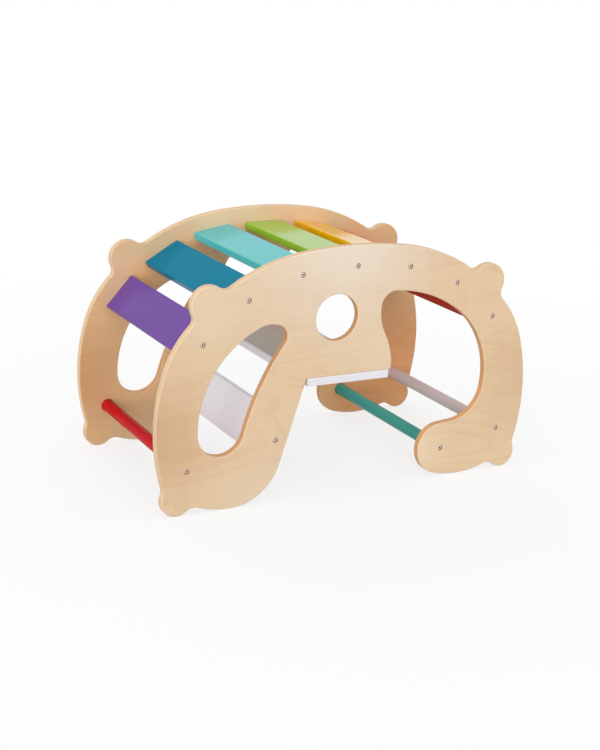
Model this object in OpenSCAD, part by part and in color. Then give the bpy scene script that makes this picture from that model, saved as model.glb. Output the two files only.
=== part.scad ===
// Wooden rainbow rocker: two plywood side panels joined by seven coloured slats,
// a seat board, a back board and three round rungs. Standing as here it is an arch
// on two feet; turned over it rocks on the arch. Millimetres, +Z up, X along the
// arch, the floor at Z = 0 and the origin midway under the arch.

/* [Frame] */
// Overall length across the flanks
body_len = 896; // [860:1:940]
// Overall height of the arch
body_h = 541; // [525:1:570]
// Clear width between the two side panels
inner_w = 442; // [300:1:520]
// Thickness of a side panel
panel_t = 18; // [16:0.5:24]

/* [Panel outer curve] */
// Radius of the flat middle of the arch
crown_r = 900; // [800:10:1000]
// Radius of the arch's shoulders
shoulder_r = 400; // [385:1:415]
// Distance of a shoulder's centre from the end of the panel
shoulder_inset = 378.4; // [366:0.2:390]
// Radius of the flanks
flank_r = 419; // [390:1:450]
// Depth of the widest point of the flanks below the crown
flank_drop = 357; // [345:1:370]
// Radius of the flank below an upper ear
haunch_r = 230; // [200:1:260]
// Radius of an upper ear
ear_r = 41; // [36:1:46]
// Direction of an upper ear from the shoulder's centre, from upright
ear_angle = 41.5; // [38:0.5:45]
// Distance of the ear's centre outside the shoulder
ear_over_arch = 2.5; // [0:0.5:8]
// Distance of that centre outside the haunch
ear_over_haunch = 7.5; // [3:0.5:12]
// Radius of a lower ear
low_ear_r = 34; // [30:1:40]
// Distance of a lower ear's centre inside the flank's curve
low_ear_sink = 20; // [14:0.5:26]
// Radius of the hollow between the arch and an upper ear
brow_r = 22; // [16:1:30]
// Radius of the hollow under an upper ear
nape_r = 20; // [14:1:28]
// Radius of the hollows beside a lower ear
ankle_r = 26; // [18:1:34]

/* [Feet] */
// Radius of the sole of a foot
sole_r = 220; // [200:1:240]
// Distance of the sole's lowest point from the lower ear's centre
sole_reach = 120; // [112:1:130]
// Radius of the inner side of the left foot
heel_r = 116; // [100:1:130]
// Radius of the tip of the right foot
toe_r = 58; // [52:1:64]
// Distance of that tip's centre from the end of the panel
toe_inset = 216; // [206:1:226]

/* [Bay over the right foot] */
// Width of the arch band over the bay
band_w = 98; // [90:1:108]
// Sideways shift of the bay's roof from the arch's centre
bay_lead = 15; // [8:1:22]
// Drop of the bay's roof centre below the arch's centre
bay_drop = 3; // [0:1:8]
// Radius of the bay's upper left corner
bay_corner_r = 35; // [28:1:42]
// Distance of that corner's centre beyond the body's right edge
bay_corner_lead = 4.5; // [0:0.5:9]
// Radius of the bay's lower right corner
bay_heel_r = 85; // [75:1:95]
// Distance of that corner's centre from the end of the panel
bay_heel_inset = 196; // [188:1:206]
// Height of the bay's floor over the top of the foot's tip
bay_floor_rise = 2.1; // [1:0.1:6]
// Radius of the bay's far side
bay_side_r = 188; // [180:1:196]
// Radius of the hollow under the bay's upper left corner
bay_cheek_r = 107; // [95:1:120]

/* [Body between leg and bay] */
// Distance of the body's right edge from the middle
body_edge = 94; // [86:1:100]
// Radius of that edge
body_edge_r = 147; // [130:1:165]
// Height of that edge's widest point over the seat ledge
body_edge_rise = 9.5; // [5:0.5:14]
// Distance of the round hole's centre from the middle
hole_x = 44.5; // [35:0.5:55]
// Depth of the round hole's centre below the crown
hole_drop = 153; // [145:1:163]
// Diameter of the round hole
hole_d = 100; // [80:1:106]

/* [Hollow in the left leg] */
// Width of the flank beside the hollow
flank_w = 92; // [84:1:100]
// Radius of the hollow's outer side
hollow_r = 223.5; // [215:0.5:232]
// Depth of that side's centre below the crown
hollow_drop = 365; // [357:1:373]
// Radius of the hollow's lower end
hollow_low_r = 52; // [46:1:58]
// Direction of the lower end from the outer side's centre
hollow_low_angle = 182.5; // [178:0.5:187]
// Radius of the hollow's upper corner
hollow_top_r = 26.5; // [22:0.5:31]
// Distance of that corner's centre from the end of the panel
hollow_top_inset = 261.5; // [255:0.5:268]
// Depth of that corner's centre below the crown
hollow_top_drop = 183.5; // [176:0.5:191]
// Radius of the hollow's brow
hollow_brow_r = 60; // [50:1:75]
// Radius of the hollow's inner side
hollow_wall_r = 560; // [480:5:640]

/* [Slats] */
// Width of a slat
slat_w = 90; // [70:1:100]
// Thickness of the slats, the seat and the back board
board_t = 18; // [14:0.5:21]
// Depth of the slats' middle plane below the arch
slat_inset = 45; // [40:0.5:52]
// Slope of the outermost slats
outer_slat_angle = 49; // [44:0.5:54]
// Radius on the long edges of the slats and boards
board_edge_r = 2; // [1:0.5:4]

/* [Seat and back] */
// Depth of the seat board's upper face below the crown
seat_drop = 279.5; // [270:0.5:290]
// Length of the seat board along the arch
seat_len = 197; // [180:1:202]
// Distance of its right end from the body's right edge
seat_lip = 5.5; // [3:0.5:20]
// Gap between its left end and the left leg
seat_gap = 3; // [3:0.5:8]
// Width of the back board
back_w = 102; // [90:1:120]
// Height of the back board's middle
back_z = 136; // [128:1:144]
// Depth of the back board's middle behind the left leg's inner edge
back_depth = 27.5; // [24:0.5:36]

/* [Rungs] */
// Diameter of the round rungs
rung_d = 28; // [22:0.5:32]
// Distance of the outer rungs from the ends of the panel
rung_inset = 69; // [62:1:76]
// Height of the outer rungs
rung_z = 94; // [86:1:102]
// Depth of a rung's seat in the panel
rung_seat = 8; // [5:0.5:10]

/* [Fasteners] */
// Diameter of a connector screw's shank
screw_d = 7; // [5:0.5:8]
// Length of a connector screw under its head
screw_len = 50; // [40:1:70]
// Diameter of its head
head_d = 9.4; // [8.5:0.1:12]
// Height of its head
head_h = 4; // [3:0.5:5]
// Depth of the head's top below the panel face
head_sink = 2; // [1:0.5:4]
// Width across flats of the socket in a screw head
socket_af = 4; // [3:0.5:5]
// Depth of the socket in a screw head
socket_deep = 2.5; // [1.5:0.5:2.5]
// Diameter of a locating dowel
dowel_d = 8; // [6:0.5:10]
// Length of a locating dowel
dowel_len = 30; // [24:1:40]
// Depth of a dowel in the panel
dowel_sunk = 12; // [8:0.5:14]
// Distance of a dowel from its board's edge
dowel_edge = 16; // [12:0.5:22]
// Diameter of a seat screw's shank
seat_screw_d = 4.5; // [3.5:0.5:6]
// Length of a seat screw
seat_screw_len = 50; // [35:1:60]
// Diameter of a seat screw's countersunk head
seat_head_d = 9; // [8:0.5:12]
// Distance of a seat screw from the seat board's end
seat_screw_edge = 32; // [20:1:45]

/* [Fits] */
// Clearance round screws and dowels, on the diameter
pin_fit = 0.3; // [0.1:0.1:0.6]
// Clearance round a rung in its seat, on the diameter
rung_fit = 0.4; // [0.2:0.1:0.8]
// Clearance beyond the end of anything in a blind hole
end_fit = 1; // [0.5:0.5:3]

/* [Hidden] */

// Greatest distance between a round stretch of an outline and its chords
chord_gap = 0.06;
// Radius that breaks the body's lower right corner
corner_r = 5;
// Radius in the crook between the ledge and the left leg
crook_r = 3;
// Depth of the socket in a seat screw's head
seat_socket_deep = 2;
// Depth by which a cutter passes a face
over = 1;
// Facets of round bores and rods
round_fn = 64;

half_len = body_len / 2;
half_w = inner_w / 2;
panel_y = half_w + panel_t;

wood = "burlywood";
steel = "silver";
slat_colours = ["mediumpurple", "steelblue", "mediumaquamarine", "yellowgreen", "goldenrod", "coral", "firebrick"];

// A circle is [x, z, r]. Its r is positive where the outline bulges and negative
// where the outline is hollow, so neighbours touch at a distance of |r1 - r2|.

// Circle of radius r inside circle c, touching it in the given direction
function inside(c, r, angle) =
    let (reach = abs(c[2]) - abs(r))
    [c[0] + reach * cos(angle), c[1] + reach * sin(angle), r];

// Circle of signed radius r that touches circles a and b, left (1) or right (-1) of the way a to b
function between(a, b, r, hand) =
    let (
        way = [b[0] - a[0], b[1] - a[1]],
        gap = norm(way),
        along = (pow(a[2] - r, 2) - pow(b[2] - r, 2) + gap * gap) / (2 * gap),
        aside = hand * sqrt(max(pow(a[2] - r, 2) - along * along, 0))
    )
    [a[0] + (way[0] * along - way[1] * aside) / gap, a[1] + (way[1] * along + way[0] * aside) / gap, r];

// The same circle on the other side of the middle
function mirrored(c) = [-c[0], c[1], c[2]];
function reversed(list) = [for (i = [len(list) - 1:-1:0]) list[i]];

// Direction in which the belt round the circles leaves circle a for circle b
function leave(a, b) =
    let (way = [b[0] - a[0], b[1] - a[1]], lean = (a[2] - b[2]) / norm(way))
    atan2(way[1], way[0]) - 90 + asin(min(max(lean, -1), 1));

// Angle turned on a circle, counterclockwise on a bulge and clockwise in a hollow
function turn(from, to, r) =
    let (raw = r > 0 ? to - from : from - to, full = raw - 360 * floor(raw / 360))
    full > 359.9 ? 0 : (r > 0 ? full : -full);

// Outline of a belt laid counterclockwise round a list of circles
function belt(cs) = [
    for (i = [0:len(cs) - 1])
        let (
            c = cs[i],
            start = leave(cs[(i + len(cs) - 1) % len(cs)], c),
            sweep = turn(start, leave(c, cs[(i + 1) % len(cs)]), c[2]),
            step = 2 * acos(1 - chord_gap / abs(c[2])),
            steps = max(ceil(abs(sweep) / step), 1)
        )
        for (k = [0:steps])
            let (a = start + sweep * k / steps)
            [c[0] + c[2] * cos(a), c[1] + c[2] * sin(a)]
];

// Arch, ears, flank and sole on the right, and the same on the left by mirror
crown = [0, body_h - crown_r, crown_r];

// The shoulder leaves the crown smoothly and passes just inside the ear's centre
crown_half = asin((half_len - shoulder_inset) / (crown_r - shoulder_r));
shoulder = inside(crown, shoulder_r, 90 - crown_half);
ear_reach = shoulder_r + ear_over_arch;
ear = [shoulder[0] + ear_reach * sin(ear_angle), shoulder[1] + ear_reach * cos(ear_angle), ear_r];

// The haunch leaves the flank smoothly and passes just inside the ear's centre
flank = [half_len - flank_r, body_h - flank_drop, flank_r];
haunch = between(flank, [ear[0], ear[1], -ear_over_haunch], haunch_r, -1);

// The lower ear stands on the floor and pokes out of the flank
low_ear_x = flank[0] + sqrt(pow(flank_r - low_ear_sink, 2) - pow(flank[1] - low_ear_r, 2));
low_ear = [low_ear_x, low_ear_r, low_ear_r];
sole = [low_ear_x - sole_reach, sole_r, sole_r];
side_curve = [
    sole,
    between(low_ear, sole, -ankle_r, 1),
    low_ear,
    between(flank, low_ear, -ankle_r, 1),
    flank,
    haunch,
    between(ear, haunch, -nape_r, 1),
    ear,
    between(shoulder, ear, -brow_r, 1),
    shoulder
];

// Tip of the right foot, resting in the curve of its sole
toe_x = half_len - toe_inset;
toe_z = sole_r - sqrt(pow(sole_r - toe_r, 2) - pow(toe_x - sole[0], 2));
toe = [toe_x, toe_z, toe_r];

// Bay over the right foot, from the toe round to the body's right edge
bay_roof = [shoulder[0] + bay_lead, shoulder[1] - bay_drop, -(shoulder_r - band_w)];
bay_heel = [half_len - bay_heel_inset, toe_z + toe_r + bay_floor_rise + bay_heel_r, -bay_heel_r];
bay_corner_x = body_edge + bay_corner_lead;
bay_corner = inside(bay_roof, -bay_corner_r, acos((bay_corner_x - bay_roof[0]) / (-bay_roof[2] - bay_corner_r)));
bay_side = between(bay_heel, bay_roof, -bay_side_r, -1);
seat_z = body_h - seat_drop;
edge = [body_edge - body_edge_r, seat_z + body_edge_rise, body_edge_r];
bay_cheek = between(bay_corner, edge, -bay_cheek_r, 1);

// Ledge for the seat board, from the body's right corner to the left leg
ledge_reach = sqrt(pow(body_edge_r - corner_r, 2) - pow(body_edge_rise - corner_r, 2));
ledge_right = [edge[0] + ledge_reach, seat_z + corner_r, corner_r];
seat_right = edge[0] + sqrt(pow(body_edge_r, 2) - pow(body_edge_rise, 2)) - seat_lip;
seat_left = seat_right - seat_len;
leg_crook = [seat_left - seat_gap + crook_r, seat_z - crook_r, -crook_r];

heel = [-sole[0], heel_r, heel_r];

panel_outline = belt(concat(
    [crown], [for (c = reversed(side_curve)) mirrored(c)],
    [heel, leg_crook, ledge_right, edge, bay_cheek, bay_corner, bay_roof, bay_side, bay_heel, toe],
    side_curve
));

// Hollow in the left leg
hollow_side = [flank_w - half_len + hollow_r, body_h - hollow_drop, hollow_r];
hollow_low = inside(hollow_side, hollow_low_r, hollow_low_angle);
hollow_top = [hollow_top_inset - half_len, body_h - hollow_top_drop, hollow_top_r];
hollow_wall = between(hollow_low, hollow_top, -hollow_wall_r, -1);
hollow_brow = between(hollow_side, hollow_top, hollow_brow_r, 1);
hollow_outline = belt([hollow_low, hollow_wall, hollow_top, hollow_brow, hollow_side]);

// A slat's middle and slope, at one depth under a round stretch of the outline
function under(c, angle) = let (p = inside(c, slat_inset, 90 - angle)) [p[0], p[1], -angle];

// The same, at a distance from the middle along the crown and the shoulder
crown_lie = crown_r - slat_inset;
shoulder_lie = shoulder_r - slat_inset;
crown_run = crown_lie * crown_half * PI / 180;
function at_run(run) = run < crown_run
    ? under(crown, run / crown_lie * 180 / PI)
    : under(shoulder, crown_half + (run - crown_run) / shoulder_lie * 180 / PI);

// The outermost slat lies under the haunch and the others evenly between it and the middle
slats_a_side = 3;
outer_slat = under(haunch, outer_slat_angle);
outer_turn = atan2(outer_slat[0] - shoulder[0], outer_slat[1] - shoulder[1]) - crown_half;
slat_pitch = (crown_run + outer_turn * PI / 180 * shoulder_lie) / slats_a_side;
right_slats = concat([for (k = [1:slats_a_side - 1]) at_run(k * slat_pitch)], [outer_slat]);

// All the slats from left to right
function swapped(p) = [-p[0], p[1], -p[2]];
slats = concat(
    [for (p = reversed(right_slats)) swapped(p)],
    [[0, body_h - slat_inset, 0]],
    right_slats
);

// The back board lies along the straight inner edge of the left leg
leg_way = leave(heel, leg_crook);
leg_reach = heel[0] * cos(leg_way) + heel[1] * sin(leg_way) + heel_r;
back_x = (leg_reach - back_depth - back_z * sin(leg_way)) / cos(leg_way);
back = [back_x, back_z, 90 + leg_way];

outer_rung = [half_len - rung_inset, rung_z];
rungs = [[-outer_rung[0], outer_rung[1]], [toe_x, toe_z], outer_rung];
screw_places = concat([for (p = concat(slats, [back])) [p[0], p[1]]], rungs);

bore_d = screw_d + pin_fit;
shank_y = panel_y - head_sink - head_h;
dowel_hole_d = dowel_d + pin_fit;
dowel_end_y = half_w + dowel_sunk;
head_hole_d = head_d + 2 * pin_fit;

// Rod along Y between two places, the first nearer the front
module rod(d, y0, y1) {
    translate([0, y1, 0]) rotate([90, 0, 0]) cylinder(d = d, h = y1 - y0, $fn = round_fn);
}

// Puts its children at a place in the XZ plane, turned by the place's slope
module at(p) {
    translate([p[0], 0, p[1]]) rotate([0, len(p) > 2 ? -p[2] : 0, 0]) children();
}

// Its children at the near end, and again at the far end by mirror
module near_end() children();
module far_end() mirror([0, 1, 0]) children();

// Both dowels of a board end
module dowel_pair(w, d, y0, y1) {
    for (side = [-1, 1]) translate([side * (w / 2 - dowel_edge), 0, 0]) rod(d, y0, y1);
}

// Section of a board with its long edges rounded
module board_section(w, t) {
    square([w - 2 * board_edge_r, t], center = true);
    square([w, t - 2 * board_edge_r], center = true);
    for (x = [-1, 1], z = [-1, 1])
        translate([x * (w / 2 - board_edge_r), z * (t / 2 - board_edge_r)]) circle(r = board_edge_r, $fn = 32);
}

// Board along Y, rounded on its long edges
module plank(w, t, span) {
    translate([0, span / 2, 0]) rotate([90, 0, 0]) linear_extrude(span) board_section(w, t);
}

// Bores for the screw and the dowels of a board end, on the near side
module end_bores(w) {
    rod(bore_d, -shank_y, -(shank_y - screw_len - end_fit));
    dowel_pair(w, dowel_hole_d, -(half_w + over), -(dowel_end_y - dowel_len - end_fit));
}

// Board between the panels with bores in both ends
module tie_board(w) {
    difference() {
        plank(w, board_t, inner_w);
        near_end() end_bores(w);
        far_end() end_bores(w);
    }
}

// Side panel on the near side, with every bore that it carries
module side_panel() {
    difference() {
        translate([0, -half_w, 0]) rotate([90, 0, 0]) linear_extrude(panel_t) difference() {
            polygon(panel_outline);
            polygon(hollow_outline);
        }
        at([-hole_x, body_h - hole_drop]) rod(hole_d, -panel_y - over, -half_w + over);
        for (p = screw_places) at(p) {
            rod(bore_d, -panel_y - over, -half_w + over);
            rod(head_hole_d, -panel_y - over, -shank_y);
        }
        for (p = slats) at(p) dowel_pair(slat_w, dowel_hole_d, -(dowel_end_y + end_fit), -half_w + over);
        at(back) dowel_pair(back_w, dowel_hole_d, -(dowel_end_y + end_fit), -half_w + over);
        for (p = rungs) at(p) rod(rung_d + rung_fit, -(half_w + rung_seat + rung_fit), -half_w + over);
        for (x = seat_screw_xs) seat_screw_bore(x);
    }
}

module near_side_panel() color(wood) side_panel();
module far_side_panel() color(wood) far_end() side_panel();

module slat(k) color(slat_colours[k]) at(slats[k]) tie_board(slat_w);
module back_board() color("white") at(back) tie_board(back_w);

// Seat board, its ends flush with the panels' outer faces
seat_x = (seat_left + seat_right) / 2;
seat_screw_xs = [seat_left + seat_screw_edge, seat_right - seat_screw_edge];
seat_screw_y = half_w + panel_t / 2;
seat_low = seat_z - board_t;

module seat_screw_bore(x) {
    translate([x, -seat_screw_y, seat_low - over])
        cylinder(d = seat_screw_d + pin_fit, h = seat_screw_len + end_fit + over, $fn = round_fn);
}

// Countersunk head and shank of a seat screw, pointing up, grown by a clearance
module seat_screw(grow) {
    cone_h = (seat_head_d - seat_screw_d) / 2;
    cylinder(d1 = seat_head_d + grow, d2 = seat_screw_d + grow, h = cone_h, $fn = round_fn);
    cylinder(d = seat_screw_d + grow, h = seat_screw_len, $fn = round_fn);
}

module seat_board() color("whitesmoke") difference() {
    translate([seat_x, 0, seat_z - board_t / 2]) plank(seat_len, board_t, 2 * panel_y);
    for (x = seat_screw_xs, y = [-1, 1]) translate([x, y * seat_screw_y, seat_low]) {
        seat_screw(pin_fit);
        translate([0, 0, -over]) cylinder(d = seat_head_d + pin_fit, h = over, $fn = round_fn);
    }
}

module seat_screws() color(steel)
    for (x = seat_screw_xs, y = [-1, 1]) translate([x, y * seat_screw_y, seat_low]) difference() {
        seat_screw(0);
        translate([0, 0, -over]) cylinder(d = socket_af, h = over + seat_socket_deep, $fn = 6);
    }

// Round rung, seated in both panels, with a screw bore in each end
module rung(k, tint) color(tint) at(rungs[k]) difference() {
    rod(rung_d, -(half_w + rung_seat), half_w + rung_seat);
    near_end() rod(bore_d, -shank_y, -(shank_y - screw_len - end_fit));
    far_end() rod(bore_d, -shank_y, -(shank_y - screw_len - end_fit));
}

// Connector screw on the near side, its head sunk below the panel's face
module connector_screw() {
    difference() {
        union() {
            rod(head_d, -(panel_y - head_sink), -shank_y);
            rod(screw_d, -shank_y, -(shank_y - screw_len));
        }
        translate([0, -(panel_y - head_sink) + socket_deep, 0]) rotate([90, 0, 0])
            cylinder(d = socket_af / cos(30), h = socket_deep + over, $fn = 6);
    }
}

module slat_screws() color(steel) for (p = slats) at(p) connector_screw();
module rung_screws() color(steel) for (p = rungs) at(p) connector_screw();
module slat_dowels() color("tan")
    for (p = slats) at(p) dowel_pair(slat_w, dowel_d, -dowel_end_y, -(dowel_end_y - dowel_len));

module back_board_screws() color(steel) {
    near_end() at(back) connector_screw();
    far_end() at(back) connector_screw();
}
module back_board_dowels() color("tan") {
    near_end() at(back) dowel_pair(back_w, dowel_d, -dowel_end_y, -(dowel_end_y - dowel_len));
    far_end() at(back) dowel_pair(back_w, dowel_d, -dowel_end_y, -(dowel_end_y - dowel_len));
}

near_side_panel();
far_side_panel();
slat(0);  // purple_slat
slat(1);  // blue_slat
slat(2);  // aqua_slat
slat(3);  // green_slat
slat(4);  // yellow_slat
slat(5);  // orange_slat
slat(6);  // red_slat
seat_board();
back_board();
rung(0, "firebrick");  // red_rung
rung(1, "cadetblue");  // teal_rung
rung(2, "lightgrey");  // grey_rung
near_end() slat_screws();  // near_slat_screws
far_end() slat_screws();  // far_slat_screws
near_end() slat_dowels();  // near_slat_dowels
far_end() slat_dowels();  // far_slat_dowels
near_end() rung_screws();  // near_rung_screws
far_end() rung_screws();  // far_rung_screws
back_board_screws();
back_board_dowels();
seat_screws();
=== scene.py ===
import math

import bmesh
import bpy
import numpy as np
from mathutils import Matrix, Vector
from mathutils.geometry import convex_hull_2d, tessellate_polygon

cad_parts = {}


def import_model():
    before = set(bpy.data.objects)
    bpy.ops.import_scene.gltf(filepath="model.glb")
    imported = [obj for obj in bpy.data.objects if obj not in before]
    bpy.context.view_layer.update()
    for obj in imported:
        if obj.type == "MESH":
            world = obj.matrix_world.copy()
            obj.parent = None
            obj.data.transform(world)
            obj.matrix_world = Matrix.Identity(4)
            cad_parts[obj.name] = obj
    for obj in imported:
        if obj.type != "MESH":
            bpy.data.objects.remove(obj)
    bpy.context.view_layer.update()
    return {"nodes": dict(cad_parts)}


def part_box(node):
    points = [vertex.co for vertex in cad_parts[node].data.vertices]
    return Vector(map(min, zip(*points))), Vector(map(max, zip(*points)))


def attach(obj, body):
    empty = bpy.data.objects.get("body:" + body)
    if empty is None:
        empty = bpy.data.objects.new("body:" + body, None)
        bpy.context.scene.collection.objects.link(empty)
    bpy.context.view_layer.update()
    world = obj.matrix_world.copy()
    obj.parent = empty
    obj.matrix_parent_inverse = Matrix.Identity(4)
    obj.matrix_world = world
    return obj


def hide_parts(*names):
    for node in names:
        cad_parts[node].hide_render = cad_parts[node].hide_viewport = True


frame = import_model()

# Wooden rainbow rocker: two plywood side panels joined by painted slats, boards and
# rungs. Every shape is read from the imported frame, in metres, and rebuilt with
# rounded edges, true bores, threads and flutes. The surfaces are procedural.

BODY = "root"
MM = 0.001

# Axes along which solids are drawn: across the object from panel to panel, and up
ACROSS, UP = 1, 2

# Faces of the side panels, read from the frame
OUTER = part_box("far_side_panel")[1].y
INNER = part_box("far_side_panel")[0].y
PANEL_T = OUTER - INNER

# Name of the mark of painted shade on a mesh's points: 0 on open surfaces, 1 in cut-outs and
# sockets, and more in bores, whose painted shade is deeper still. The outline's own walls get it
# by how far inside the outline's hull they lie.
PAINTED_SHADE = "painted_shade"
PAINTED_SHADE_FROM, PAINTED_SHADE_TO = 25 * MM, 55 * MM
BORE_PAINTED_SHADE = 2.0

# Reading tolerances: points to join, one level, one axis, doubled points of a loop, and digits
# of a millimetre that tell radii and levels apart
WELD = 0.002 * MM
LEVEL = 0.02 * MM
SAME_AXIS = 1 * MM
DOUBLED = 0.02 * MM
DIGITS = 2
# A loop is round if it has enough points and its radii spread by no more than this share
FEWEST_ROUND = 8
ROUND_SPREAD = 0.01
# A round loop under this radius is a bore, and a larger one a window
BORE_LIMIT = 20 * MM
# Points this close to a bore's axis are the middle of its floor
AXIS_SPOT = 0.5 * MM

# Edge rounding that the solids leave out
PANEL_EDGE = 2.5 * MM
BORE_MOUTH = 1 * MM
SEAT_EDGE = 2 * MM
SEAT_CORNER = 2.5 * MM
BOARD_END_EDGE = 1.5 * MM
DOWEL_END_EDGE = 1 * MM
HEAD_EDGE = 0.6 * MM
SEAT_SCREW_EDGE = 0.2 * MM
# Least cosine between a corner's normal and its sides', which keeps a sharp corner's miter short
LEAST_MITER = 0.9

# Screw and dowel details
SOCKET_POINT = 0.5 * MM
PLAIN_NECK = 3 * MM
THREAD_PITCH = 3 * MM
THREAD_SLICES = 6
THREAD_DEPTH = 0.24
THREAD_STEEPNESS = 4
TIP_TAPER = 3 * MM
TIP_SHARE = 0.45
FLUTES = 18
FLUTE_DEPTH = 0.05

# Facets of round things
EDGE_STEPS = 6
CORNER_STEPS = 6
WINDOW_STEPS = 128
BORE_STEPS = 40
ROD_STEPS = 96


# Reading the frame

def welded(node):
    """Copy of a node's mesh with its split points joined."""
    mesh = bmesh.new()
    mesh.from_mesh(frame["nodes"][node].data)
    bmesh.ops.remove_doubles(mesh, verts=mesh.verts, dist=WELD)
    return mesh


def flat_axes(axis):
    """The two other axes, in the order in which an outline is drawn."""
    return [a for a in (0, 1, 2) if a != axis]


def chained(edges):
    """Closed chains of points made of a list of edges."""
    beside = {}
    for edge in edges:
        a, b = edge.verts
        beside.setdefault(a, []).append(b)
        beside.setdefault(b, []).append(a)
    left, chains = set(beside), []
    for start in beside:
        if start not in left:
            continue
        chain, here = [], start
        while here is not None:
            chain.append(here)
            left.discard(here)
            here = next((v for v in beside[here] if v in left), None)
        chains.append(chain)
    return chains


def area(loop):
    """Signed area of a closed loop, positive where it runs counterclockwise."""
    ahead = np.roll(loop, -1, axis=0)
    return 0.5 * float(np.sum(loop[:, 0] * ahead[:, 1] - ahead[:, 0] * loop[:, 1]))


def face_loops(mesh, axis, level):
    """Loops round the flat faces of a mesh at one level, the largest first."""
    flat = {f for f in mesh.faces if all(abs(v.co[axis] - level) < LEVEL for v in f.verts)}
    rims = [e for e in mesh.edges if sum(f in flat for f in e.link_faces) == 1]
    u, v = flat_axes(axis)
    loops = [np.array([(p.co[u], p.co[v]) for p in chain]) for chain in chained(rims)]
    return sorted(loops, key=lambda loop: -abs(area(loop)))


def end_faces(mesh, axis):
    """Loops round a solid's two end faces, by their levels, the lower one first."""
    levels = [vert.co[axis] for vert in mesh.verts]
    return {level: face_loops(mesh, axis, level) for level in (min(levels), max(levels))}


def circle_of(loop):
    """Centre and radius of a loop, or None where it isn't round."""
    low, high = loop.min(axis=0), loop.max(axis=0)
    centre = (low + high) / 2
    radii = np.linalg.norm(loop - centre, axis=1)
    if np.ptp(radii) > ROUND_SPREAD * radii.mean() or len(loop) < FEWEST_ROUND:
        return None
    return centre, float(radii.max())


def is_bore(circle):
    """Whether what circle_of gives is a bore, and not a window or no circle at all."""
    return circle is not None and circle[1] < BORE_LIMIT


def ring_of(centre, radius, steps):
    """Points of a circle, counterclockwise."""
    turn = np.arange(steps) * 2 * math.pi / steps
    return np.asarray(centre) + radius * np.column_stack([np.cos(turn), np.sin(turn)])


def spots(mesh, axis, centre, reach):
    """Radii and levels of the points round an axis, rounded and without repeats."""
    u, v = flat_axes(axis)
    found = set()
    for vert in mesh.verts:
        radius = math.hypot(vert.co[u] - centre[0], vert.co[v] - centre[1])
        if radius <= reach + LEVEL:
            found.add((round(radius / MM, DIGITS) * MM, round(vert.co[axis] / MM, DIGITS) * MM))
    return sorted(found)


def bore_profile(mesh, axis, centre, reach, way):
    """Radii and levels down a bore, from the face that looks along way."""
    found = [spot for spot in spots(mesh, axis, centre, reach) if spot[0] > AXIS_SPOT]
    profile = []
    for level in sorted({level for _, level in found}, key=lambda level: -way * level):
        radii = sorted({r for r, at in found if at == level}, reverse=True)
        ends = [radii[0], radii[-1]] if len(radii) > 1 else radii
        if profile and abs(profile[-1][0] - ends[0]) > abs(profile[-1][0] - ends[-1]):
            ends.reverse()
        profile += [(radius, level) for radius in ends]
    return profile


def solids(node):
    """Welded copies of a node's separate solids."""
    whole = welded(node)
    whole.verts.index_update()
    seen, parts = set(), []
    for start in whole.verts:
        if start.index in seen:
            continue
        seen.add(start.index)
        queue, members = [start], []
        while queue:
            here = queue.pop()
            members.append(here)
            for edge in here.link_edges:
                other = edge.other_vert(here)
                if other.index not in seen:
                    seen.add(other.index)
                    queue.append(other)
        part = bmesh.new()
        copies = {vert: part.verts.new(vert.co) for vert in members}
        for face in dict.fromkeys(face for vert in members for face in vert.link_faces):
            part.faces.new([copies[vert] for vert in face.verts])
        parts.append(part)
    whole.free()
    return parts


# Building meshes

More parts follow.
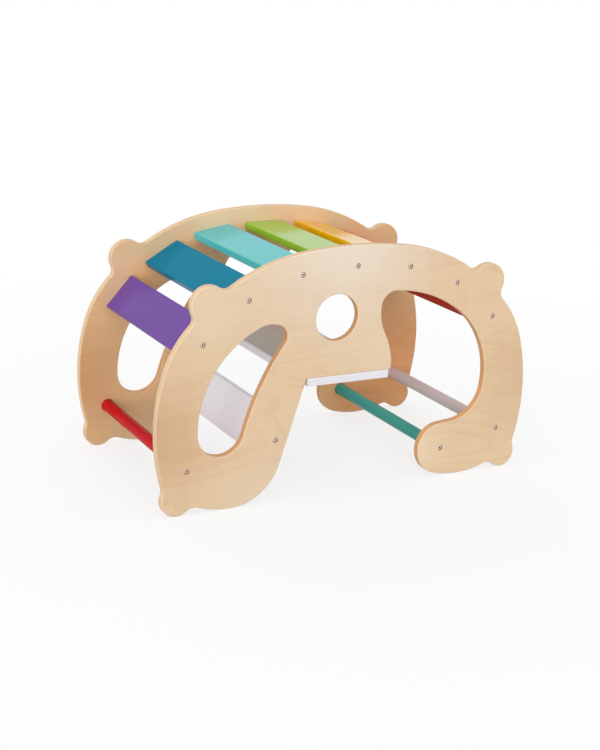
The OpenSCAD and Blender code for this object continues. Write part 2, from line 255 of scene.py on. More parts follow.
class Skin:
    """Mesh made of rings of points round one axis, with the shading normal of each face corner."""

    def __init__(self, axis):
        self.axis = axis
        self.points, self.faces, self.normals, self.painted_shade = [], [], [], []

    def lift(self, pair, level):
        """Point or direction in space from its part in the outline's plane and its level."""
        full = [0.0, 0.0, 0.0]
        u, v = flat_axes(self.axis)
        full[u], full[v], full[self.axis] = float(pair[0]), float(pair[1]), float(level)
        return full

    def ring(self, loop, level, painted_shade=0.0):
        """Adds a ring of points and gives their numbers."""
        first = len(self.points)
        self.points += [self.lift(pair, level) for pair in loop]
        self.painted_shade += [float(mark) for mark in np.broadcast_to(painted_shade, len(loop))]
        return list(range(first, len(self.points)))

    def again(self, ring):
        """Adds a copy of a ring without its mark, so that the mark ends at a sharp edge."""
        first = len(self.points)
        self.points += [list(self.points[i]) for i in ring]
        self.painted_shade += [0.0] * len(ring)
        return list(range(first, len(self.points)))

    def face(self, corners, normals, own=True):
        """Adds a face that looks the way its normals point, shaded by them if they are its own."""
        at = [Vector(self.points[i]) for i in corners]
        around = sum((a.cross(b) for a, b in zip(at, at[1:] + at[:1])), Vector())
        if around.dot(sum((Vector(n) for n in normals), Vector())) < 0:
            corners, normals = corners[::-1], normals[::-1]
        self.faces.append(list(corners))
        self.normals += [tuple(n) if own else (0.0, 0.0, 0.0) for n in normals]

    def strip(self, one, other, one_normals, other_normals, own=True):
        """Closes the band between two rings of the same length."""
        count = len(one)
        for i in range(count):
            j = (i + 1) % count
            self.face(
                [one[i], one[j], other[j], other[i]],
                [one_normals[i], one_normals[j], other_normals[j], other_normals[i]],
                own,
            )

    def cap(self, rings, way):
        """Closes the flat region between an outer ring and the rings of its holes."""
        numbers = [i for ring in rings for i in ring]
        u, v = flat_axes(self.axis)
        flat = [[Vector((self.points[i][u], self.points[i][v], 0)) for i in ring] for ring in rings]
        normal = self.lift((0, 0), way)
        for corners in tessellate_polygon(flat):
            self.face([numbers[i] for i in corners], [normal] * len(corners))

    def close(self, ring, level, way):
        """Closes a ring with a fan round its middle."""
        loop = np.array([self.points[i] for i in ring])
        middle = len(self.points)
        self.points.append([float(x) for x in loop.mean(axis=0)])
        self.points[middle][self.axis] = level
        self.painted_shade.append(self.painted_shade[ring[0]])
        normal = self.lift((0, 0), way)
        for i, here in enumerate(ring):
            self.face([here, ring[(i + 1) % len(ring)], middle], [normal] * 3)

    def build(self, name, material, slot, *nodes):
        """Makes the object, which rides on the body and stands for its CAD nodes."""
        mesh = bpy.data.meshes.new(name)
        mesh.from_pydata(self.points, [], self.faces)
        mesh.polygons.foreach_set("use_smooth", [True] * len(mesh.polygons))
        mesh.normals_split_custom_set(self.normals)
        mesh.materials.append(material)
        mesh.attributes.new(PAINTED_SHADE, "FLOAT", "POINT").data.foreach_set("value", self.painted_shade)
        piece = bpy.data.objects.new(name, mesh)
        bpy.context.scene.collection.objects.link(piece)
        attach(piece, BODY)
        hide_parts(*nodes)


def tidy_loop(loop, inward):
    """Loop without doubled points, run so that the material lies on its left."""
    gap = np.linalg.norm(loop - np.roll(loop, 1, axis=0), axis=1)
    loop = loop[gap > DOUBLED]
    return loop[::-1] if (area(loop) > 0) == inward else loop


def outward(loop):
    """Unit normals at a loop's points, away from the material, and how far each miter reaches."""
    ahead = np.roll(loop, -1, axis=0) - loop
    length = np.linalg.norm(ahead, axis=1)[:, None]
    right = np.column_stack([ahead[:, 1], -ahead[:, 0]]) / length
    behind, behind_length = np.roll(right, 1, axis=0), np.roll(length, 1, axis=0)
    normal = right * length + behind * behind_length
    normal /= np.linalg.norm(normal, axis=1)[:, None]
    reach = 1 / np.maximum(np.sum(normal * right, axis=1), LEAST_MITER)
    return normal, reach[:, None]


def edge_rings(skin, loop, edge, face, way, painted_shade=0.0):
    """Adds a rounded edge at one face. Gives its wall ring with the normals, and its rim ring."""
    normal, reach = outward(loop)
    rings = []
    for step in range(EDGE_STEPS + 1):
        phi = step / EDGE_STEPS * math.pi / 2
        inset = edge * (1 - math.cos(phi))
        level = face - way * edge * (1 - math.sin(phi))
        ring = skin.ring(loop - normal * reach * inset, level, painted_shade)
        tilt = [skin.lift(n * math.cos(phi), way * math.sin(phi)) for n in normal]
        rings.append((ring, tilt))
    for (one, one_tilt), (other, other_tilt) in zip(rings, rings[1:]):
        skin.strip(one, other, one_tilt, other_tilt)
    return rings[0], rings[-1][0]


def turned(skin, centre, profile, way, solid, painted_shade=0.0):
    """Turned surface down a profile of radii and levels, round a bore or round a solid rod."""
    circle = ring_of((0, 0), 1, BORE_STEPS)
    rings = [skin.ring(centre + circle * radius, level, painted_shade) for radius, level in profile]
    facing = -way if solid else way
    for k, ((from_r, from_level), (to_r, to_level)) in enumerate(zip(profile, profile[1:])):
        along = Vector((to_r - from_r, to_level - from_level)).normalized()
        normals = [skin.lift(c * facing * along.y, -facing * along.x) for c in circle]
        skin.strip(rings[k], rings[k + 1], normals, normals)
    return rings


def chamfered(profile, way, size):
    """The profile with a small chamfer where the bore meets the face."""
    (radius, level), rest = profile[0], profile[1:]
    return [(radius + size, level), (radius, level - way * size)] + rest


def rounded_rectangle(low, high, radius):
    """Outline of a rectangle with round corners, counterclockwise."""
    corners = ((high[0], high[1]), (low[0], high[1]), (low[0], low[1]), (high[0], low[1]))
    points = []
    for k, (x, y) in enumerate(corners):
        middle_x = x - radius * (1 if x == high[0] else -1)
        middle_y = y - radius * (1 if y == high[1] else -1)
        for step in range(CORNER_STEPS + 1):
            turn = (k + step / CORNER_STEPS) * math.pi / 2
            points.append((middle_x + radius * math.cos(turn), middle_y + radius * math.sin(turn)))
    return np.array(points)


def hollow_shade(loop):
    """How far the points of an outline lie inside its hull, which sets their walls' painted shade: 0 on
    the outer curve, 1 well inside.
    """
    hull = loop[convex_hull_2d([Vector(pair) for pair in loop])]
    ahead = np.roll(hull, -1, axis=0) - hull
    across = np.column_stack([-ahead[:, 1], ahead[:, 0]]) / np.linalg.norm(ahead, axis=1)[:, None]
    depth = np.abs(np.sum((loop[:, None] - hull[None]) * across[None], axis=2)).min(axis=1)
    return np.clip((depth - PAINTED_SHADE_FROM) / (PAINTED_SHADE_TO - PAINTED_SHADE_FROM), 0, 1)


def add_bores(skin, mesh, found, rings, mouth):
    """Adds the bores of both end faces, and the rims of their mouths to each face's rings."""
    low, high = found
    done = []
    for level, far, way in ((low, high, -1), (high, low, 1)):
        mouths = [circle_of(loop) for loop in found[level][1:]]
        far_mouths = [circle_of(loop) for loop in found[far][1:]]
        for centre, radius in [m for m in mouths if is_bore(m)]:
            if any(np.linalg.norm(centre - c) < SAME_AXIS for c in done):
                continue
            same = [m[1] for m in far_mouths if m and np.linalg.norm(m[0] - centre) < SAME_AXIS]
            profile = bore_profile(mesh, skin.axis, centre, max([radius] + same), way)
            if mouth:
                profile = chamfered(profile, way, mouth)
            # Bores carry a mark of painted shade deeper than that of cut-outs
            made = turned(skin, centre, profile, way, solid=False, painted_shade=BORE_PAINTED_SHADE)
            rings[level].append(skin.again(made[0]))
            if same:
                rings[far].append(skin.again(made[-1]))
                done.append(centre)
            else:
                skin.close(made[-1], profile[-1][1], way)


def add_walls(skin, found, rings, edge, wave, outline):
    """Adds the walls of the outline and of its cut-outs, with rounded edges at both faces."""
    low, high = found
    for place, loop in enumerate(found[high]):
        circle = circle_of(loop)
        if place > 0 and is_bore(circle):
            continue
        if circle is not None:
            loop = ring_of(circle[0], circle[1], WINDOW_STEPS if place > 0 else ROD_STEPS)
        if wave is not None:
            loop = wave(loop)
        if outline is not None and place == 0:
            loop = outline
        loop = tidy_loop(loop, place > 0)
        # Walls of cut-outs get full painted shade, and the outline's walls get more the deeper they lie in
        # its hollows
        painted_shade = 1.0 if place > 0 else hollow_shade(loop)
        (high_wall, high_tilt), high_rim = edge_rings(skin, loop, edge, high, 1, painted_shade)
        (low_wall, low_tilt), low_rim = edge_rings(skin, loop, edge, low, -1, painted_shade)
        skin.strip(low_wall, high_wall, low_tilt, high_tilt)
        # The outline's rim comes first, and those of its holes after it
        rings[high].insert(min(place, 1), high_rim)
        rings[low].insert(min(place, 1), low_rim)


def add_board(skin, mesh, edge, mouth=0.0, wave=None, outline=None):
    """Rebuilds a flat solid between its two end faces, with rounded edges and its bores."""
    found = end_faces(mesh, skin.axis)
    rings = {level: [] for level in found}
    add_bores(skin, mesh, found, rings, mouth)
    add_walls(skin, found, rings, edge, wave, outline)
    low, high = found
    skin.cap(rings[high], 1)
    skin.cap(rings[low], -1)


def add_head(skin, centre, radius, socket, head, socket_floor, way, edge):
    """Adds the end of a screw's head with its socket, and gives the ring where its side starts."""
    loop = tidy_loop(ring_of(centre, radius, BORE_STEPS), False)
    (wall, _), rim = edge_rings(skin, loop, edge, head, way)
    # The socket's walls and floor carry the mark of painted shade
    top = skin.ring(socket, head, painted_shade=1.0)
    skin.cap([rim, skin.again(top)], way)
    deep = skin.ring(socket, socket_floor, painted_shade=1.0)
    for i in range(len(socket)):
        j = (i + 1) % len(socket)
        inward = centre - (socket[i] + socket[j]) / 2
        normal = skin.lift(inward / np.linalg.norm(inward), 0)
        skin.face([top[i], top[j], deep[j], deep[i]], [normal] * 4)
    skin.close(deep, socket_floor - way * SOCKET_POINT, way)
    return wall


def add_thread(skin, centre, radius, last, start, tip, way):
    """Adds a thread that fades in below the last ring, and a tapered tip."""
    end = tip + way * TIP_TAPER
    count = int(abs(end - start) / THREAD_PITCH * THREAD_SLICES)
    circle = ring_of((0, 0), 1, BORE_STEPS)
    radial = [skin.lift(c, 0) for c in circle]
    turns = np.arange(BORE_STEPS) / BORE_STEPS
    for k in range(1, count + 1):
        level = start + (end - start) * k / count
        phase = (abs(level - start) / THREAD_PITCH - turns) % 1
        crest = np.clip(1 - np.abs(phase - 0.5) * THREAD_STEEPNESS, 0, 1)
        fade = min(1, k / THREAD_SLICES)
        root = radius * (1 - THREAD_DEPTH * fade)
        radii = root + (radius - root) * crest
        ring = skin.ring(centre + circle * radii[:, None], level)
        skin.strip(last, ring, radial, radial, own=False)
        last = ring
    point = skin.ring(centre + circle * radius * TIP_SHARE, tip)
    skin.strip(last, point, radial, radial, own=False)
    skin.close(point, tip, -way)


def add_screw(skin, mesh, edge):
    """Screw with a rounded rim, a hex socket with a drill point, a thread and a tapered tip."""
    ends = end_faces(mesh, skin.axis)
    head = max(ends, key=lambda level: abs(area(ends[level][0])))
    tip = sum(ends) - head
    way = 1 if head > tip else -1
    centre, head_r = circle_of(ends[head][0])
    shank_r = circle_of(ends[tip][0])[1]
    socket = ends[head][1]
    socket_r = max(np.linalg.norm(socket - centre, axis=1))
    found = spots(mesh, skin.axis, centre, head_r)

    def levels_at(radius):
        """Levels of the points at one radius, from the tip's end to the head's."""
        levels = [level for r, level in found if abs(r - radius) < LEVEL]
        return sorted(levels, key=lambda level: way * level)

    socket_floor, under, neck = levels_at(socket_r)[0], levels_at(head_r)[0], levels_at(shank_r)[-1]
    wall = add_head(skin, centre, head_r, socket, head, socket_floor, way, edge)
    thread_start = neck - way * PLAIN_NECK
    profile = [(head_r, under)] if way * (head - under) > edge else []
    profile += [(shank_r, neck), (shank_r, thread_start)]
    rings = turned(skin, centre, profile, way, solid=True)
    side_r, side_end = profile[0]
    along = Vector((side_r - head_r, side_end - (head - way * edge))).normalized()
    circle = ring_of((0, 0), 1, BORE_STEPS)
    normals = [skin.lift(c * -way * along.y, way * along.x) for c in circle]
    skin.strip(wall, rings[0], normals, normals)
    add_thread(skin, centre, shank_r, rings[-1], thread_start, tip, way)


# Materials

# Inputs and output of a Mix node that takes colours
MIX_FACTOR, MIX_ONE, MIX_OTHER, MIX_RESULT = 0, 6, 7, 2


class Graph:
    """Short way of writing a material's nodes."""

    def __init__(self, name):
        self.material = bpy.data.materials.new(name)
        self.material.use_nodes = True
        self.tree = self.material.node_tree
        self.shader = self.tree.nodes["Principled BSDF"]
        self.place = self.add("ShaderNodeTexCoord").outputs["Object"]

    def add(self, kind, inputs=None, **settings):
        """A new node with its settings, and its inputs by name or number."""
        node = self.tree.nodes.new(kind)
        for key, value in settings.items():
            setattr(node, key, value)
        for key, value in (inputs or {}).items():
            self.feed(node.inputs[key], value)
        return node

    def feed(self, socket, value):
        """Links an output to an input, or sets the input's value."""
        if isinstance(value, bpy.types.NodeSocket):
            self.tree.links.new(value, socket)
        else:
            socket.default_value = value

    def math(self, operation, *values):
        """Result of a Math node."""
        node = self.add("ShaderNodeMath", operation=operation)
        for socket, value in zip(node.inputs, values):
            self.feed(socket, value)
        return node.outputs[0]

    def scaled(self, vector, *scale):
        """A vector scaled along each axis."""
        return self.add("ShaderNodeMapping", {"Vector": vector, "Scale": scale}).outputs[0]

    def falloff(self, middle, reach):
        """1 at a point, falling smoothly to 0 at a distance, whatever the depth along Y."""
        ends = {0: self.scaled(self.place, 1, 0, 1), 1: middle}
        away = self.add("ShaderNodeVectorMath", ends, operation="DISTANCE")
        fall = {"Value": away.outputs["Value"], "From Min": reach, "From Max": 0.0}
        return self.add("ShaderNodeMapRange", fall, interpolation_type="SMOOTHSTEP").outputs[0]

    def noise(self, vector, waves, detail, roughness, distortion=0.0):
        """Noise with so many waves in a metre along each axis."""
        node = self.add("ShaderNodeTexNoise", {
            "Vector": self.scaled(vector, *waves), "Scale": 1.0, "Detail": detail,
            "Roughness": roughness, "Distortion": distortion,
        })
        return node.outputs["Fac"]

    def span(self, value, low, high, to_low=0.0, to_high=1.0):
        """A value taken from one range to another, and held at its ends."""
        node = self.add("ShaderNodeMapRange", {
            "Value": value, "From Min": low, "From Max": high, "To Min": to_low, "To Max": to_high,
        })
        return node.outputs[0]

    def mix(self, factor, one, other, blend="MIX"):
        """Two colours mixed."""
        node = self.add("ShaderNodeMix", data_type="RGBA", blend_type=blend)
        self.feed(node.inputs[MIX_FACTOR], factor)
        self.feed(node.inputs[MIX_ONE], one)
        self.feed(node.inputs[MIX_OTHER], other)
        return node.outputs[MIX_RESULT]

    def blend(self, one, other, share):
        """Two heights added, of which the first has a share of the whole."""
        return self.math("ADD", self.math("MULTIPLY", one, share), self.math("MULTIPLY", other, 1 - share))

    def bump(self, height, distance, strength):
        """Normal of a surface raised by a height."""
        node = self.add("ShaderNodeBump", {"Height": height, "Distance": distance, "Strength": strength})
        return node.outputs[0]

    def painted_shade(self):
        """The mesh's own mark of where shade is painted."""
        return self.add("ShaderNodeAttribute", attribute_name=PAINTED_SHADE).outputs["Fac"]

    def parts(self, vector):
        """A vector's X, Y and Z."""
        return self.add("ShaderNodeSeparateXYZ", {"Vector": vector}).outputs

    def set(self, **sockets):
        """Feeds the shader's inputs, by their names with underscores for spaces."""
        for key, value in sockets.items():
            self.feed(self.shader.inputs[key.replace("_", " ")], value)


def shade(red, green, blue):
    """Linear colour of an 8-bit sRGB colour."""
    linear = []
    for part in (red / 255, green / 255, blue / 255):
        linear.append(part / 12.92 if part <= 0.04045 else ((part + 0.055) / 1.055) ** 2.4)
    return (*linear, 1.0)


# Below, a noise has its waves in a metre along X, Y and Z, its detail and its roughness. A share
# has a range of a noise and the strengths that it is taken to, and most values of a noise lie in
# the usual range. A relief has its height and its strength, and RELIEF_SHARE is the part in it of
# the first of two noises.
USUAL = (0.3, 0.7)
RELIEF_SHARE = 0.8

# Face veneer: its pale, middle, dark and pore tones, the place in the noise that it is cut from,
# how many growth rings the noise is cut into, and how late in each ring the dark wood starts
VENEER_TONES = ((244, 217, 181), (239, 206, 166), (221, 179, 136), (182, 135, 92))
VENEER_FROM = (0.37, 0, 0.37)
RING_NOISE, RING_DISTORTION = ((1.5, 3, 5.2), 1.6, 0.42), 0.35
SOFT_NOISE = ((2.2, 4, 7), 3, 0.5)
FIBRE_NOISE = ((14, 240, 420), 4, 0.6)
CURL_NOISE = ((34, 20, 5), 2, 0.45)
PORE_NOISE = ((110, 1100, 1900), 1, 0.5)
GROWTH_RINGS = 15.0
LATE_WOOD = 2.6
LATE_SHARE = (*USUAL, 0.17, 0.42)
FIBRE_SHARE = (0.42, 0.72, 0.0, 0.3)
CURL_SHARE = (0.35, 0.65, 0.0, 0.3)
PORE_SHARE = (0.66, 0.76, 0.0, 0.4)
VENEER_RELIEF = (0.1 * MM, 0.3)
VENEER_ROUGHNESS = (0.36, 0.5)
VENEER_GLOSS = 0.25

# Plies on open walls and on the walls of cut-outs, which are browner as painted shade: long grain,
# end grain, glue lines and how strong those are. Then the tones of the grit in them all and of the
# painted shade in bores.
PLIES = 15
OPEN_PLIES = ((240, 216, 184), (226, 192, 152), (190, 142, 98), 0.45)
SHADED_PLIES = ((250, 200, 149), (232, 167, 115), (172, 108, 64), 0.5)
GRIT = (196, 148, 102)
BORE_SHADE_TONE = (186, 112, 66)
GRIT_NOISE, GRIT_SHARE = ((220, 900, 220), 3, 0.5), (0.35, 0.7, 0.0, 0.3)
# How far the plies wander and how wide half a glue line is, in plies
WANDER_NOISE, WANDER = ((14, 14, 14), 2, 0.5), 0.12
GLUE_WIDTH = 0.09
# Depth in plies at which the face veneer has wholly given way to the core, which is rougher
VENEER_END = 1.02
CORE_ROUGHER = 0.3

# The veneer that faces inward gets a warmer painted shade than the outer one, deepest over the
# right foot. The painted shade fades out between these shares of the panel's thickness.
INNER_FADE = (0.4, 0.5)
INNER_SHADE, DEEP_SHADE = (0.97, 0.85, 0.71, 1), (1.08, 0.74, 0.51, 1)
DEEP_SHADE_AT, DEEP_SHADE_REACH = (0.34, 0.0, 0.08), 0.34
# Painted shade, browner still, between the slats where they meet the panel, and uneven painted
# shade over the band above them: middle, reach and tint
SLAT_GAP_SHADE, SLAT_GAP_REACH = (1.06, 0.76, 0.55, 1), 0.075
INNER_SHADE_SPOTS = (
    ((-0.30, 0.0, 0.385), SLAT_GAP_REACH, SLAT_GAP_SHADE),
    ((-0.185, 0.0, 0.445), SLAT_GAP_REACH, SLAT_GAP_SHADE),
    ((-0.065, 0.0, 0.465), SLAT_GAP_REACH, SLAT_GAP_SHADE),
    ((0.065, 0.0, 0.465), SLAT_GAP_REACH, SLAT_GAP_SHADE),
    ((0.185, 0.0, 0.445), SLAT_GAP_REACH, SLAT_GAP_SHADE),
    ((0.30, 0.0, 0.385), SLAT_GAP_REACH, SLAT_GAP_SHADE),
    ((-0.12, 0.0, 0.51), 0.08, (1.04, 0.85, 0.69, 1)),
    ((0.02, 0.0, 0.53), 0.11, (0.97, 0.765, 0.62, 1)),
    ((0.20, 0.0, 0.515), 0.14, (0.89, 0.85, 0.71, 1)),
)
# Broad patches of paler and darker veneer: a painted sheen over the crown, painted light on the
# right foot, painted shade over the outer legs, and paler or warmer tone at other places. Middle,
# reach, strength and tone
LIGHT_AND_TONE_PATCHES = (
    # Painted sheen over the crown
    ((-0.03, 0.0, 0.57), 0.34, 0.85, (249, 235, 218)),
    ((-0.18, 0.0, 0.00), 0.22, 0.55, (243, 222, 194)),
    ((-0.30, 0.0, 0.42), 0.18, 0.35, (243, 222, 194)),
    ((-0.34, 0.0, 0.43), 0.09, 0.35, (250, 230, 205)),
    ((0.10, 0.0, 0.30), 0.16, 0.45, (246, 222, 194)),
    # Painted light on the right foot
    ((0.17, 0.0, 0.07), 0.11, 0.60, (255, 230, 196)),
    # Painted shade over the left leg, and on the next line over the right leg
    ((-0.45, 0.0, 0.17), 0.19, 0.55, (208, 160, 116)),
    ((0.44, 0.0, 0.20), 0.20, 0.35, (212, 166, 124)),
)

# Paint: the wood's grain under it, clouds of a deeper tone, and stipple
GRAIN_NOISE, GRAIN_SHARE = ((300, 9, 300), 4, 0.6), (0.55, 0.8, 0.0, 0.22)
CLOUD_NOISE, CLOUD_SHARE = ((9, 5, 9), 3, 0.5), (*USUAL, 0.0, 0.6)
STIPPLE_NOISE = ((420, 420, 420), 2, 0.5)
PAINT_RELIEF = (0.08 * MM, 0.25)
PAINT_ROUGHNESS = (0.13, 0.18)

# Screws: bright and dull tone, and the painted shade of the socket
STEEL_TONES = ((242, 240, 236), (210, 206, 200), (100, 98, 96))
MARK_NOISE = ((900, 300, 900), 3, 0.5)
DULL_NOISE = ((60, 60, 60), 3, 0.5)
STEEL_RELIEF = (0.02 * MM, 0.4)
STEEL_ROUGHNESS = (0.12, 0.26)

# Dowels: pale and dark tone, and that of the flecks
BEECH_TONES = ((222, 184, 142), (196, 152, 110), (150, 104, 70))
BEECH_NOISE = ((700, 40, 700), 4, 0.5)
FLECK_NOISE, FLECK_SHARE = ((900, 160, 2200), 1, 0.5), (0.62, 0.7, 0.0, 0.6)
BEECH_RELIEF = (0.1 * MM, 0.5)
BEECH_ROUGHNESS = 0.62


def veneer(g):
    """Rotary-cut birch: ring contours that wander along X, fibres, pores and a curly figure."""
    pale, middle, dark, pore_tone = (shade(*tone) for tone in VENEER_TONES)
    moved = g.add("ShaderNodeMapping", {"Vector": g.place, "Location": VENEER_FROM}).outputs[0]
    field = g.noise(moved, *RING_NOISE, RING_DISTORTION)
    rings = g.math("FRACT", g.math("MULTIPLY", field, GROWTH_RINGS))
    late = g.math("POWER", rings, LATE_WOOD)
    soft = g.noise(moved, *SOFT_NOISE)
    fibre = g.noise(moved, *FIBRE_NOISE)
    curl = g.noise(moved, *CURL_NOISE)
    pore = g.noise(moved, *PORE_NOISE)
    colour = g.mix(g.span(soft, *USUAL), pale, middle)
    colour = g.mix(g.math("MULTIPLY", late, g.span(soft, *LATE_SHARE)), colour, dark)
    colour = g.mix(g.span(fibre, *FIBRE_SHARE), colour, dark)
    colour = g.mix(g.span(curl, *CURL_SHARE), colour, pale)
    colour = g.mix(g.span(pore, *PORE_SHARE), colour, pore_tone)
    return colour, fibre, curl


def plies(g, cut, glue, look):
    """Plies in the tones of one kind of wall."""
    long_grain, end_grain, glue_line, strength = look
    colour = g.mix(cut, shade(*long_grain), shade(*end_grain))
    return g.mix(g.math("MULTIPLY", glue, strength), colour, shade(*glue_line))


def plywood():
    """Birch plywood through its whole thickness, the face veneers' grain along the arch."""
    g = Graph("birch_plywood")
    y = g.parts(g.place)[1]
    depth = g.math("SUBTRACT", g.math("ABSOLUTE", y), INNER)
    wander = g.span(g.noise(g.place, *WANDER_NOISE), *USUAL, -WANDER, WANDER)
    count = g.math("ADD", g.math("MULTIPLY", depth, PLIES / PANEL_T), wander)
    odd = g.math("FLOORED_MODULO", g.math("FLOOR", count), 2)
    glue = g.span(g.math("PINGPONG", count, 0.5), 0.0, GLUE_WIDTH, 1.0, 0.0)

    face, fibre, curl = veneer(g)
    # Painted sheen, light and shade in broad patches, with some tone that differs from place to place
    for middle, reach, strength, tone in LIGHT_AND_TONE_PATCHES:
        face = g.mix(g.math("MULTIPLY", g.falloff(middle, reach), strength), face, shade(*tone))

    # Painted shade on the inward face
    inner_side = g.span(depth, PANEL_T * INNER_FADE[0], PANEL_T * INNER_FADE[1], 1.0, 0.0)
    inner_shade = g.mix(g.falloff(DEEP_SHADE_AT, DEEP_SHADE_REACH), INNER_SHADE, DEEP_SHADE)
    for middle, reach, shade_tint in INNER_SHADE_SPOTS:
        inner_shade = g.mix(g.falloff(middle, reach), inner_shade, shade_tint)
    face = g.mix(inner_side, face, inner_shade, blend="MULTIPLY")

    # Inner plies: cross plies show end grain where the wall cuts their fibres
    normal = g.parts(g.add("ShaderNodeNewGeometry").outputs["Normal"])
    end_x = g.math("MULTIPLY", normal[0], normal[0])
    end_z = g.math("MULTIPLY", normal[2], normal[2])
    along = g.math("MULTIPLY", g.math("SUBTRACT", 1.0, odd), end_x)
    across = g.math("MULTIPLY", odd, end_z)
    cut = g.math("ADD", along, across)
    grit = g.noise(g.place, *GRIT_NOISE)
    open_wall = plies(g, cut, glue, OPEN_PLIES)
    shaded_wall = plies(g, cut, glue, SHADED_PLIES)
    # Painted shade: walls of cut-outs and walls deep in the outline's hollows are browner
    wall = g.mix(g.painted_shade(), open_wall, shaded_wall)
    wall = g.mix(g.span(grit, *GRIT_SHARE), wall, shade(*GRIT))

    ply = PANEL_T / PLIES
    past_inner = g.span(depth, ply, ply * VENEER_END)
    past_outer = g.span(depth, PANEL_T - ply, PANEL_T - ply * VENEER_END)
    core = g.math("MULTIPLY", past_inner, past_outer)
    colour = g.mix(core, face, wall)
    # Painted shade, deeper still, in the bores
    g.set(Base_Color=g.mix(g.span(g.painted_shade(), 1.0, BORE_PAINTED_SHADE), colour, shade(*BORE_SHADE_TONE)))
    g.set(Normal=g.bump(g.blend(fibre, curl, RELIEF_SHARE), *VENEER_RELIEF))
    rough = g.span(curl, *USUAL, *VENEER_ROUGHNESS)
    g.set(Roughness=g.math("ADD", rough, g.math("MULTIPLY", core, CORE_ROUGHER)))
    g.shader.inputs["Specular IOR Level"].default_value = VENEER_GLOSS
    return g.material


def paint(name, tone, shadow, gloss):
    """Satin paint on a board, the wood's grain faintly raised along Y under it."""
    g = Graph(name)
    grain = g.noise(g.place, *GRAIN_NOISE)
    cloud = g.noise(g.place, *CLOUD_NOISE)
    stipple = g.noise(g.place, *STIPPLE_NOISE)
    colour = g.mix(g.span(cloud, *CLOUD_SHARE), shade(*tone), shade(*shadow))
    g.set(Base_Color=g.mix(g.span(grain, *GRAIN_SHARE), colour, shade(*shadow)))
    g.set(Normal=g.bump(g.blend(grain, stipple, RELIEF_SHARE), *PAINT_RELIEF))
    g.set(Roughness=g.span(cloud, *USUAL, *PAINT_ROUGHNESS))
    g.shader.inputs["Specular IOR Level"].default_value = gloss
    return g.material


def steel():
    """Zinc-plated steel with fine turning marks."""
    g = Graph("screw_steel")
    bright_tone, dull_tone, socket_shade_tone = (shade(*tone) for tone in STEEL_TONES)
    marks = g.noise(g.place, *MARK_NOISE)
    dull = g.noise(g.place, *DULL_NOISE)
    face = g.mix(dull, bright_tone, dull_tone)
    # Painted shade in the socket
    g.set(Base_Color=g.mix(g.painted_shade(), face, socket_shade_tone))
    g.set(Roughness=g.span(marks, *USUAL, *STEEL_ROUGHNESS))
    g.set(Normal=g.bump(marks, *STEEL_RELIEF))
    g.shader.inputs["Metallic"].default_value = 1.0
    return g.material


def beech():
    """Bare beech of the dowels, grain along Y with short dark flecks."""
    g = Graph("dowel_beech")
    pale, dark, fleck_tone = (shade(*tone) for tone in BEECH_TONES)
    grain = g.noise(g.place, *BEECH_NOISE)
    fleck = g.noise(g.place, *FLECK_NOISE)
    colour = g.mix(grain, pale, dark)
    g.set(Base_Color=g.mix(g.span(fleck, *FLECK_SHARE), colour, fleck_tone))
    g.set(Normal=g.bump(grain, *BEECH_RELIEF))
    g.shader.inputs["Roughness"].default_value = BEECH_ROUGHNESS
    return g.material


# Pieces

# Paints: tone, deeper tone of its clouds, and specular level
PAINTS = {
    "purple": ((116, 79, 160), (106, 70, 149), 0.058),
    "blue": ((6, 127, 156), (4, 117, 145), 0.022),
    "aqua": ((75, 198, 200), (67, 187, 188), 0.24),
    "green": ((153, 201, 43), (141, 187, 37), 0.6),
    "yellow": ((252, 187, 9), (243, 176, 6), 0.5),
    "orange": ((214, 94, 40), (201, 83, 32), 0.24),
    "red": ((203, 28, 34), (184, 22, 28), 0.023),
    "teal": ((78, 182, 170), (70, 172, 160), 0.06),
    "grey": ((223, 211, 212), (213, 200, 202), 0.1),
    "white": ((246, 245, 251), (241, 239, 247), 0.216),
}
PANELS = ("near_side_panel", "far_side_panel")
SLATS = ("purple", "blue", "aqua", "green", "yellow", "orange", "red")
RUNGS = ("red", "teal", "grey")
SIDE_SCREWS = (
    "near_slat_screws", "far_slat_screws", "near_rung_screws", "far_rung_screws", "back_board_screws",
)
DOWELS = ("near_slat_dowels", "far_slat_dowels", "back_board_dowels")


def panel(node, material):
    """A plywood side panel with chamfered bores."""
    skin = Skin(ACROSS)
    add_board(skin, welded(node), PANEL_EDGE, mouth=BORE_MOUTH)
    skin.build(node + "_wood", material, "side_wood", node)


def board(node, material, slot):
    """A painted slat, board or rung between the panels."""
    skin = Skin(ACROSS)
    add_board(skin, welded(node), BOARD_END_EDGE)
    skin.build(node + "_painted", material, slot, node)


def seat(node, material):
    """The seat board, whose corners are rounded too."""
    skin = Skin(UP)
    low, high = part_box(node)
    add_board(skin, welded(node), SEAT_EDGE, outline=rounded_rectangle(low, high, SEAT_CORNER))
    skin.build(node + "_painted", material, "white_paint", node)


def screws(node, material, axis, edge):
    """All screws of one node."""
    skin = Skin(axis)
    for solid in solids(node):
        add_screw(skin, solid, edge)
    skin.build(node + "_threaded", material, "screw_steel", node)


def fluted(loop):
    """The loop of a dowel with shallow flutes along it."""
    middle = loop.mean(axis=0)
    turn = np.arctan2(*(loop - middle).T)
    depth = FLUTE_DEPTH * (0.5 + 0.5 * np.cos(turn * FLUTES)) ** 2
    return middle + (loop - middle) * (1 - depth[:, None])


def dowels(node, material):
    """All dowels of one node."""
    skin = Skin(ACROSS)
    for solid in solids(node):
        add_board(skin, solid, DOWEL_END_EDGE, wave=fluted)
    skin.build(node + "_fluted", material, "dowel_wood", node)


wood = plywood()
for node in PANELS:
    panel(node, wood)

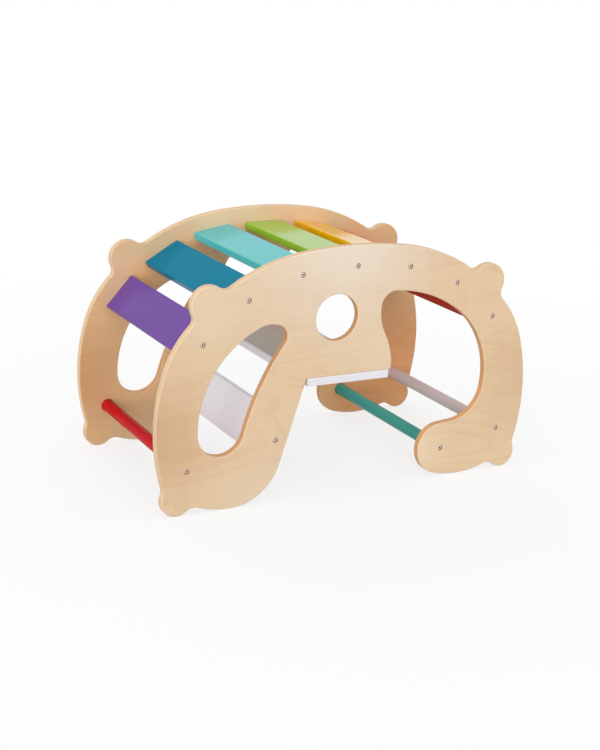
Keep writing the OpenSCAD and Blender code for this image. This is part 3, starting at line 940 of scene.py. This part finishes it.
paints = {name: paint(name + "_paint", *look) for name, look in PAINTS.items()}
for colour in SLATS:
    board(colour + "_slat", paints[colour], colour + "_paint")
for colour in RUNGS:
    board(colour + "_rung", paints[colour], colour + "_paint")
board("back_board", paints["white"], "white_paint")
seat("seat_board", paints["white"])

bright = steel()
for node in SIDE_SCREWS:
    screws(node, bright, ACROSS, HEAD_EDGE)
screws("seat_screws", bright, UP, SEAT_SCREW_EDGE)
bare = beech()
for node in DOWELS:
    dowels(node, bare)


# Floor, light and camera

WHITE = (1, 1, 1, 1)
# Strength of the white surroundings as a light on the object
SKY = 0.45
# How pale the floor is for the light that it throws back on the object
FLOOR_BOUNCE = (0.55, 0.55, 0.55, 1)
FLOOR_HALF = 14.0
# The floor keeps this share of the shadow near the object and turns to plain white farther off
SHADOW_NEAR, SHADOW_FAR = 0.7, 1.9
SHADOW_SHARE = 0.24

# Distant lamps: the way each shines, its strength and the width of its disc in degrees
SUNS = {
    "front": ((0.1, 1.0, -0.1), 0.62, 40),
    "front_left": ((0.8, 1.0, -0.3), 0.97, 35),
    "left": ((1.0, 0.02, -0.15), 0.8, 14),
    "back": ((0.0, -1.0, -0.6), 0.6, 50),
    "right": ((-0.8, 0.1, -1.0), 0.15, 40),
    "overhead": ((0.1, 0.25, -1.0), 0.55, 60),
}

# Camera, as the photograph was taken: turned right of +Y, tipped down and rolled. Its focal
# length, the picture's size and the place of its axis are in pixels, and its sensor in millimetres.
CAMERA_AT = Vector((-1.521, -2.856, 1.174))
CAMERA_YAW = math.radians(28.577)
CAMERA_DOWN = math.radians(11.111)
CAMERA_ROLL = math.radians(-2.442)
FOCAL_PX = 1479.6
FRAME_W, FRAME_H = 600, 750
AXIS_PX = (320, 225)
SENSOR = 36


def seen_directly(g):
    """1 for the rays of the camera, of gloss and of glass, and 0 for the rest."""
    path = g.add("ShaderNodeLightPath").outputs
    shiny = g.math("MAXIMUM", path["Is Glossy Ray"], path["Is Transmission Ray"])
    return g.math("MAXIMUM", path["Is Camera Ray"], shiny)


def floor_material():
    """White floor that keeps a soft shadow, and shows white to the camera and in gloss."""
    g = Graph("floor_white")
    seen = seen_directly(g)
    g.set(Base_Color=g.mix(seen, FLOOR_BOUNCE, WHITE))
    g.shader.inputs["Roughness"].default_value = 1.0
    g.shader.inputs["Specular IOR Level"].default_value = 0.0
    glow = g.add("ShaderNodeEmission", {"Strength": 1.0})
    away = g.add("ShaderNodeVectorMath", {0: g.place}, operation="LENGTH").outputs["Value"]
    share = g.span(away, SHADOW_NEAR, SHADOW_FAR, 1 - SHADOW_SHARE, 1.0)
    blend = g.add("ShaderNodeMixShader")
    g.feed(blend.inputs[0], g.math("MULTIPLY", seen, share))
    g.feed(blend.inputs[1], g.shader.outputs[0])
    g.feed(blend.inputs[2], glow.outputs[0])
    g.feed(g.tree.nodes["Material Output"].inputs["Surface"], blend.outputs[0])
    return g.material


def floor():
    """Wide white floor on which the object stands."""
    mesh = bpy.data.meshes.new("floor")
    corners = [(x * FLOOR_HALF, y * FLOOR_HALF, 0) for x, y in ((-1, -1), (1, -1), (1, 1), (-1, 1))]
    mesh.from_pydata(corners, [], [(0, 1, 2, 3)])
    mesh.materials.append(floor_material())
    plane = bpy.data.objects.new("floor", mesh)
    bpy.context.scene.collection.objects.link(plane)


class WorldGraph(Graph):
    """The same short way of writing the world's nodes."""

    def __init__(self, name):
        self.world = bpy.data.worlds.new(name)
        self.world.use_nodes = True
        self.tree = self.world.node_tree


def world():
    """White surroundings for the camera and for gloss, and a soft even light for the rest."""
    g = WorldGraph("studio")
    back = g.tree.nodes["Background"]
    g.feed(back.inputs["Color"], WHITE)
    g.feed(back.inputs["Strength"], g.span(seen_directly(g), 0, 1, SKY, 1.0))
    bpy.context.scene.world = g.world


def sun(name, toward, strength, spread):
    """Distant soft lamp that shines along a direction. Gloss shows the white room instead."""
    light = bpy.data.lights.new(name, "SUN")
    light.energy = strength
    light.angle = math.radians(spread)
    lamp = bpy.data.objects.new(name, light)
    lamp.rotation_euler = Vector(toward).to_track_quat("-Z", "Y").to_euler()
    lamp.visible_glossy = False
    bpy.context.scene.collection.objects.link(lamp)


def camera():
    """Camera with the photograph's own view, its axis off the middle of the picture."""
    lens = bpy.data.cameras.new("camera")
    lens.sensor_fit = "AUTO"
    lens.sensor_width = SENSOR
    lens.lens = FOCAL_PX / FRAME_H * SENSOR
    lens.shift_x = (FRAME_W / 2 - AXIS_PX[0]) / FRAME_H
    lens.shift_y = (AXIS_PX[1] - FRAME_H / 2) / FRAME_H
    forward = Vector((
        math.sin(CAMERA_YAW) * math.cos(CAMERA_DOWN),
        math.cos(CAMERA_YAW) * math.cos(CAMERA_DOWN),
        -math.sin(CAMERA_DOWN),
    ))
    right = Vector((math.cos(CAMERA_YAW), -math.sin(CAMERA_YAW), 0))
    down = forward.cross(right)
    rolled = math.cos(CAMERA_ROLL) * right + math.sin(CAMERA_ROLL) * down
    rolled_down = math.cos(CAMERA_ROLL) * down - math.sin(CAMERA_ROLL) * right
    turn = Matrix((rolled, -rolled_down, -forward)).transposed()
    eye = bpy.data.objects.new("camera", lens)
    eye.matrix_world = Matrix.Translation(CAMERA_AT) @ turn.to_4x4()
    bpy.context.scene.collection.objects.link(eye)
    bpy.context.scene.camera = eye


floor()
world()
for name, look in SUNS.items():
    sun(name, *look)
camera()
bpy.context.scene.view_settings.view_transform = "Standard"
